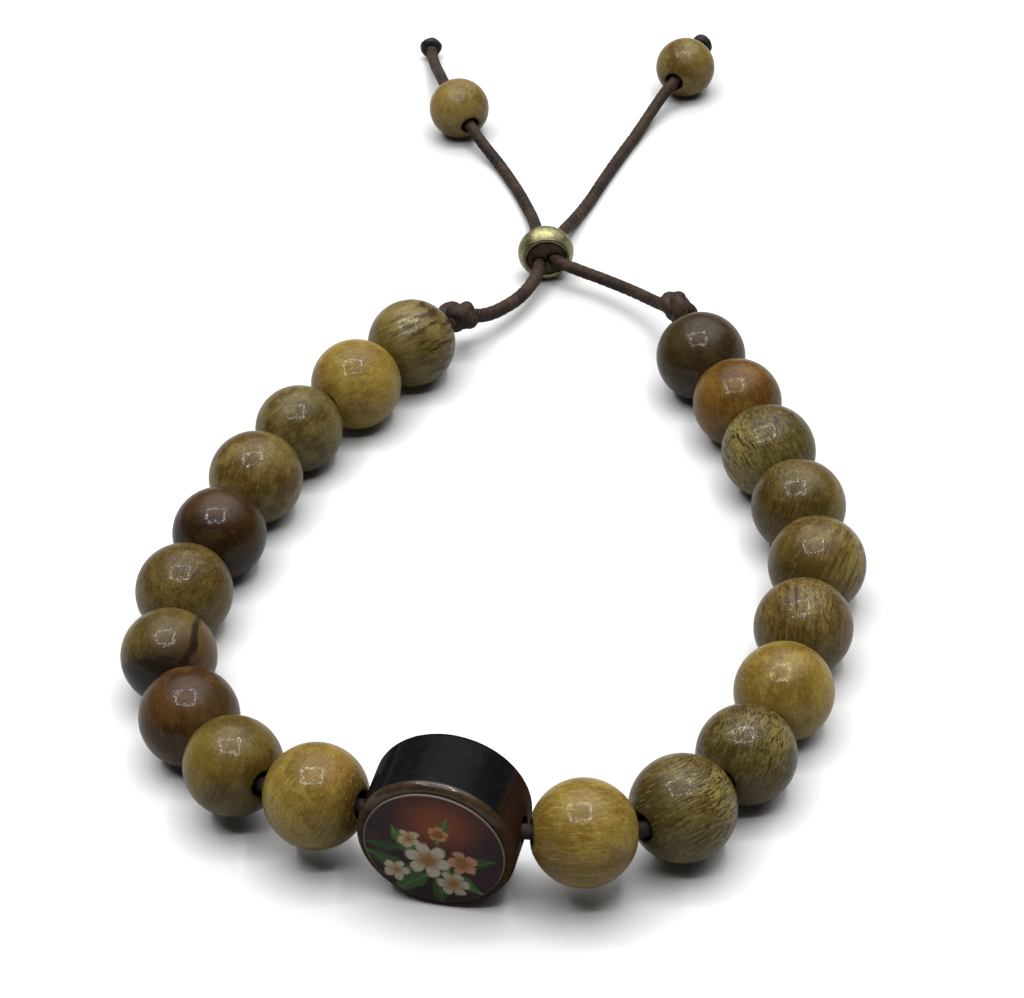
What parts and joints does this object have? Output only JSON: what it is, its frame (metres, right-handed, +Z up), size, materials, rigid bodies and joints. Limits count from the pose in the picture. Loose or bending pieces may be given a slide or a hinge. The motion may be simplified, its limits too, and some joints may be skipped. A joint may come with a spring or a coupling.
{
  "type": "wooden bead bracelet",
  "caption": "Adjustable bracelet of round wooden beads and a round picture tablet on one waxed cord, closed by a brass slide bead, with a small bead on each cord end.",
  "frame": {"origin": "on the table, under the middle of the box of the bracelet without its two free cord ends", "axes": "+Z up from the table, +Y from the tablet towards the slide bead and along the cord ends, +X to the right with the picture facing the viewer"},
  "size_m": [0.0618, 0.1354, 0.0122],
  "materials": {
    "wood_honey": "glossy lacquer over visible grain",
    "wood_golden": "glossy lacquer over visible grain",
    "wood_olive": "glossy lacquer over visible grain",
    "wood_tan": "glossy lacquer over visible grain",
    "wood_orange": "glossy lacquer over visible grain",
    "wood_umber": "glossy lacquer over visible grain",
    "wood_russet": "glossy lacquer over visible grain",
    "tablet_lacquer": "glossy near-black lacquer",
    "picture_print": "printed under clear gloss",
    "aged_brass": "worn, with dark specks",
    "waxed_cord": "twisted and waxed",
    "burnt_cord": "melted and charred"
  },
  "bodies": {
    "root": {"left_bead_1": "wood_honey", "left_bead_2": "wood_olive", "left_bead_3": "wood_russet", "left_bead_4": "wood_golden", "left_bead_5": "wood_golden", "left_bead_6": "wood_russet", "left_bead_7": "wood_golden", "left_bead_8": "wood_olive", "left_bead_9": "wood_honey", "left_bead_10": "wood_olive", "right_bead_1": "wood_honey", "right_bead_2": "wood_umber", "right_bead_3": "wood_umber", "right_bead_4": "wood_honey", "right_bead_5": "wood_tan", "right_bead_6": "wood_tan", "right_bead_7": "wood_olive", "right_bead_8": "wood_tan", "right_bead_9": "wood_orange", "right_bead_10": "wood_umber", "picture_tablet": "tablet_lacquer", "picture": "picture_print", "bead_cord": "waxed_cord", "slide_bead": "aged_brass", "knot_left": "waxed_cord", "knot_right": "waxed_cord", "cord_end_left": "waxed_cord", "cord_end_right": "waxed_cord", "end_bead_left": "wood_golden", "end_bead_right": "wood_golden", "melted_end_left": "burnt_cord", "melted_end_right": "burnt_cord"}
  },
  "joints": []
}
